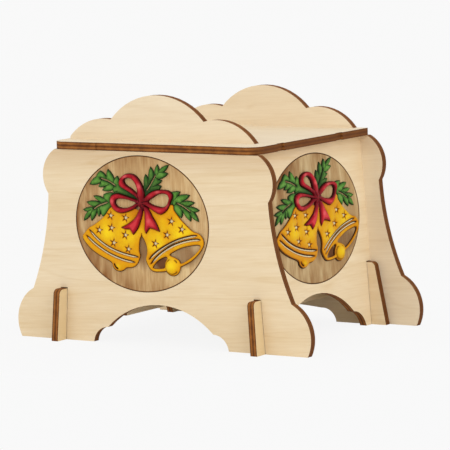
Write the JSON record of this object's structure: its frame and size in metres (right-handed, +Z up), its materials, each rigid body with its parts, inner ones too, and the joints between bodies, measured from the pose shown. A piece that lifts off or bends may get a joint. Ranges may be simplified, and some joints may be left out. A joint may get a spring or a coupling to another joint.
{
  "type": "jack in the box",
  "caption": "Plywood jack in the box: splayed walls, waisted end panels, oval bell medallions and a crested hinged lid over a figure on a coil spring.",
  "frame": {"origin": "on the ground under the middle of the box's bounding box", "axes": "+X to the right, +Y to the back, +Z up"},
  "size_m": [0.1868, 0.1262, 0.131],
  "materials": {
    "birch_ply": "bare birch plywood faces, laser-burnt edges",
    "stained_ply": "plywood stained brown with a darker rim",
    "pale_ply": "thin bare plywood",
    "green_paint": "painted green, satin",
    "yellow_paint": "painted golden yellow, satin",
    "crimson_paint": "painted crimson, satin",
    "steel": "bare steel",
    "brass": "brushed brass",
    "turned_wood": "turned beech, oiled",
    "striped_cloth": "crimson cotton with cream folds",
    "green_turned": "turned wood painted green",
    "gold_paint": "painted gold",
    "green_cloth": "green felt",
    "face_paint": "turned wood, painted, satin",
    "cream_cloth": "pleated cream cotton",
    "red_paint": "painted red, gloss",
    "crimson_felt": "crimson felt"
  },
  "bodies": {
    "root": {"front_panel": "birch_ply", "back_panel": "birch_ply", "back_cross_wall": "birch_ply", "left_wall": "birch_ply", "right_wall": "birch_ply", "floor_board": "birch_ply", "floor_rail_left": "birch_ply", "floor_rail_right": "birch_ply", "front_disc": "stained_ply", "front_leaves": "green_paint", "front_bell_backs": "pale_ply", "front_bells": "yellow_paint", "front_bow": "crimson_paint", "front_backing": "birch_ply", "right_disc": "stained_ply", "right_leaves": "green_paint", "right_bell_backs": "pale_ply", "right_bells": "yellow_paint", "right_bow": "crimson_paint", "right_backing": "birch_ply", "back_disc": "stained_ply", "back_leaves": "green_paint", "back_bell_backs": "pale_ply", "back_bells": "yellow_paint", "back_bow": "crimson_paint", "left_disc": "stained_ply", "left_leaves": "green_paint", "left_bell_backs": "pale_ply", "left_bells": "yellow_paint", "left_bow": "crimson_paint", "left_backing": "birch_ply", "catch_block": "birch_ply", "catch_magnet": "steel", "hinge_left_body_leaf": "brass", "hinge_right_body_leaf": "brass", "hinge_pins": "steel", "hinge_body_screws": "brass", "spring_base": "turned_wood", "coil_spring": "steel", "spring_sleeve": "striped_cloth"},
    "lid": {"lid_plate": "birch_ply", "front_crest": "birch_ply", "back_crest": "birch_ply", "lid_keeper": "steel", "hinge_left_lid_leaf": "brass", "hinge_right_lid_leaf": "brass", "hinge_lid_screws": "brass"},
    "jack": {"spring_top": "turned_wood", "torso": "green_turned", "torso_buttons": "gold_paint", "arms": "green_cloth", "hands": "face_paint", "ruff": "cream_cloth", "head": "face_paint", "nose": "red_paint", "cap": "crimson_felt", "cap_bells": "brass"}
  },
  "joints": [
    {"name": "lid_hinge", "type": "hinge", "parent": "root", "child": "lid", "pos_m": [0, 0.06145, 0.1036], "axis": [-1, 0, 0], "range_deg": [0, 105]},
    {"name": "jack_rise", "type": "slide", "parent": "root", "child": "jack", "axis": [0, 0, 1], "range_m": [0, 0.102], "deforming": ["coil_spring", "spring_sleeve"]}
  ],
  "couplings": [
    {"joint": "jack_rise", "follows": "lid_hinge", "m_per_rad": 0.055}
  ]
}
